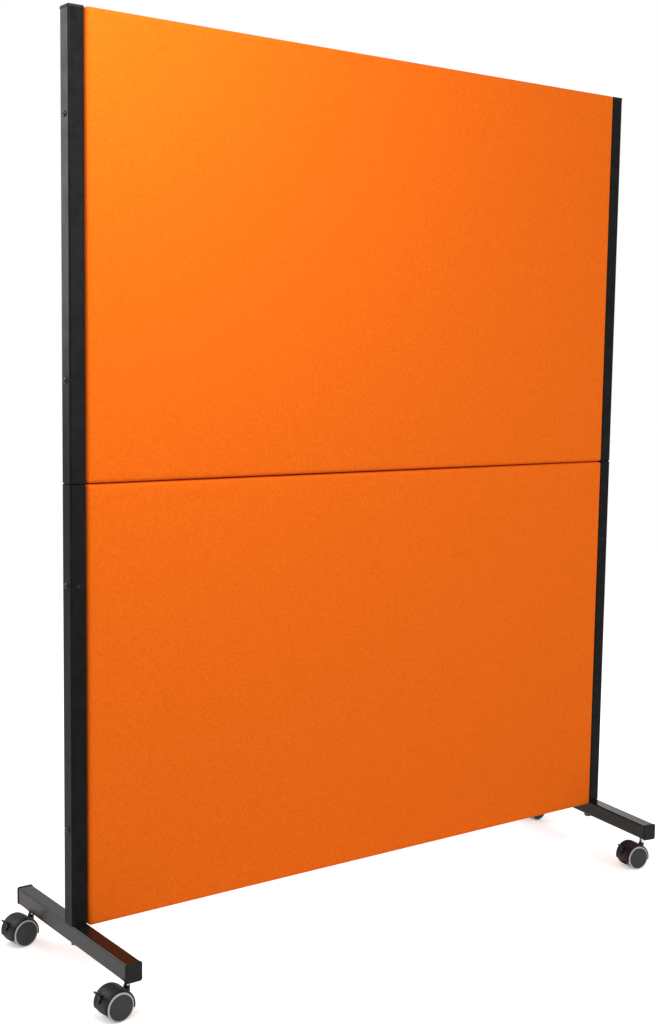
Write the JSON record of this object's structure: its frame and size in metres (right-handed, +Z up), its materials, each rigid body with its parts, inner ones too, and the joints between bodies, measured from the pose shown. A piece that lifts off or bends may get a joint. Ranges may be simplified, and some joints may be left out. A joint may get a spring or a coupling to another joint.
{
  "type": "rolling partition",
  "caption": "Tall rolling room divider: padded fabric panels stacked between slim black posts, each post on a tube foot with braked swivel casters.",
  "frame": {"origin": "on the floor under the middle of the whole object's bounding box, casters and turned foot included", "axes": "+Z up, X along the screen with the left post at -X, the front face towards -Y"},
  "size_m": [1.542, 0.468, 1.83],
  "materials": {
    "post_tube": "black powder coat, satin",
    "foot_tube": "black powder coat, satin",
    "end_cap": "black moulded plastic",
    "inner_steel": "plain steel",
    "black_fastener": "blackened steel",
    "insert_brass": "turned",
    "frame_timber": "planed softwood",
    "honeycomb": "kraft paper",
    "fibreboard": "smooth board",
    "foam_pad": "open foam",
    "panel_fabric": "fine woven orange cloth",
    "bright_steel": "bright zinc",
    "caster_cover": "black nylon",
    "wheel_disc": "dark grey nylon",
    "wheel_tread": "light grey soft tread",
    "brake_lever": "black nylon"
  },
  "bodies": {
    "screen": {"left_post_lower": "post_tube", "left_post_upper": "post_tube", "left_post_cap": "end_cap", "right_post_lower": "post_tube", "right_post_upper": "post_tube", "right_post_cap": "end_cap", "post_joiners": "black_fastener", "joiner_screws": "black_fastener", "post_plugs": "inner_steel", "foot_bolts": "black_fastener", "panel_bolts": "black_fastener", "panel_inserts": "insert_brass", "lower_panel_frame": "frame_timber", "lower_panel_infill": "honeycomb", "lower_panel_boards": "fibreboard", "lower_panel_foam": "foam_pad", "lower_panel_cover": "panel_fabric", "upper_panel_frame": "frame_timber", "upper_panel_infill": "honeycomb", "upper_panel_boards": "fibreboard", "upper_panel_foam": "foam_pad", "upper_panel_cover": "panel_fabric"},
    "left_foot": {"left_foot_tube": "foot_tube", "left_foot_front_cap": "end_cap", "left_foot_back_cap": "end_cap", "left_caster_sockets": "inner_steel", "left_caster_stems": "bright_steel"},
    "right_foot": {"right_foot_tube": "foot_tube", "right_foot_front_cap": "end_cap", "right_foot_back_cap": "end_cap", "right_caster_sockets": "inner_steel", "right_caster_stems": "bright_steel"},
    "left_front_caster": {"left_front_hood": "caster_cover", "left_front_axle": "bright_steel"},
    "left_front_front_wheel": {"left_front_front_rim": "wheel_disc", "left_front_front_tread": "wheel_tread"},
    "left_front_back_wheel": {"left_front_back_rim": "wheel_disc", "left_front_back_tread": "wheel_tread"},
    "left_front_lever": {"left_front_brake_lever": "brake_lever"},
    "left_back_caster": {"left_back_hood": "caster_cover", "left_back_axle": "bright_steel"},
    "left_back_front_wheel": {"left_back_front_rim": "wheel_disc", "left_back_front_tread": "wheel_tread"},
    "left_back_back_wheel": {"left_back_back_rim": "wheel_disc", "left_back_back_tread": "wheel_tread"},
    "left_back_lever": {"left_back_brake_lever": "brake_lever"},
    "right_front_caster": {"right_front_hood": "caster_cover", "right_front_axle": "bright_steel"},
    "right_front_front_wheel": {"right_front_front_rim": "wheel_disc", "right_front_front_tread": "wheel_tread"},
    "right_front_back_wheel": {"right_front_back_rim": "wheel_disc", "right_front_back_tread": "wheel_tread"},
    "right_front_lever": {"right_front_brake_lever": "brake_lever"},
    "right_back_caster": {"right_back_hood": "caster_cover", "right_back_axle": "bright_steel"},
    "right_back_front_wheel": {"right_back_front_rim": "wheel_disc", "right_back_front_tread": "wheel_tread"},
    "right_back_back_wheel": {"right_back_back_rim": "wheel_disc", "right_back_back_tread": "wheel_tread"},
    "right_back_lever": {"right_back_brake_lever": "brake_lever"}
  },
  "joints": [
    {"name": "left_foot_turn", "type": "hinge", "parent": "screen", "child": "left_foot", "pos_m": [-0.70426, 0, 0.106], "axis": [0, 0, 1], "range_deg": [-9.5, 9.5]},
    {"name": "right_foot_turn", "type": "hinge", "parent": "screen", "child": "right_foot", "pos_m": [0.71974, 0, 0.106], "axis": [0, 0, 1], "range_deg": [-1, 18]},
    {"name": "left_front_swivel", "type": "hinge", "parent": "left_foot", "child": "left_front_caster", "pos_m": [-0.70426, -0.205, 0.071], "axis": [0, 0, 1], "continuous": true},
    {"name": "left_front_front_wheel_spin", "type": "hinge", "parent": "left_front_caster", "child": "left_front_front_wheel", "pos_m": [-0.72928, -0.22252, 0.0275], "axis": [-0.0401, 0.9992, 0], "continuous": true},
    {"name": "left_front_back_wheel_spin", "type": "hinge", "parent": "left_front_caster", "child": "left_front_back_wheel", "pos_m": [-0.7306, -0.18954, 0.0275], "axis": [-0.0401, 0.9992, 0], "continuous": true},
    {"name": "left_front_brake", "type": "hinge", "parent": "left_front_caster", "child": "left_front_lever", "pos_m": [-0.74293, -0.20655, 0.0405], "axis": [-0.0401, 0.9992, 0], "range_deg": [0, 15]},
    {"name": "left_back_swivel", "type": "hinge", "parent": "left_foot", "child": "left_back_caster", "pos_m": [-0.70426, 0.205, 0.071], "axis": [0, 0, 1], "continuous": true},
    {"name": "left_back_front_wheel_spin", "type": "hinge", "parent": "left_back_caster", "child": "left_back_front_wheel", "pos_m": [-0.72766, 0.18537, 0.0275], "axis": [-0.1271, 0.9919, 0], "continuous": true},
    {"name": "left_back_back_wheel_spin", "type": "hinge", "parent": "left_back_caster", "child": "left_back_back_wheel", "pos_m": [-0.73185, 0.2181, 0.0275], "axis": [-0.1271, 0.9919, 0], "continuous": true},
    {"name": "left_back_brake", "type": "hinge", "parent": "left_back_caster", "child": "left_back_lever", "pos_m": [-0.74265, 0.20008, 0.0405], "axis": [-0.1271, 0.9919, 0], "range_deg": [0, 15]},
    {"name": "right_front_swivel", "type": "hinge", "parent": "right_foot", "child": "right_front_caster", "pos_m": [0.68944, -0.20275, 0.071], "axis": [0, 0, 1], "continuous": true},
    {"name": "right_front_front_wheel_spin", "type": "hinge", "parent": "right_front_caster", "child": "right_front_front_wheel", "pos_m": [0.66116, -0.21429, 0.0275], "axis": [0.1822, 0.9833, 0], "continuous": true},
    {"name": "right_front_back_wheel_spin", "type": "hinge", "parent": "right_front_caster", "child": "right_front_back_wheel", "pos_m": [0.66718, -0.18184, 0.0275], "axis": [0.1822, 0.9833, 0], "continuous": true},
    {"name": "right_front_brake", "type": "hinge", "parent": "right_front_caster", "child": "right_front_lever", "pos_m": [0.65139, -0.1957, 0.0405], "axis": [0.1822, 0.9833, 0], "range_deg": [0, 15]},
    {"name": "right_back_swivel", "type": "hinge", "parent": "right_foot", "child": "right_back_caster", "pos_m": [0.75004, 0.20275, 0.071], "axis": [0, 0, 1], "continuous": true},
    {"name": "right_back_front_wheel_spin", "type": "hinge", "parent": "right_back_caster", "child": "right_back_front_wheel", "pos_m": [0.72434, 0.18625, 0.0275], "axis": [0, 1, 0], "continuous": true},
    {"name": "right_back_back_wheel_spin", "type": "hinge", "parent": "right_back_caster", "child": "right_back_back_wheel", "pos_m": [0.72434, 0.21925, 0.0275], "axis": [0, 1, 0], "continuous": true},
    {"name": "right_back_brake", "type": "hinge", "parent": "right_back_caster", "child": "right_back_lever", "pos_m": [0.71134, 0.20275, 0.0405], "axis": [0, 1, 0], "range_deg": [0, 15]}
  ]
}
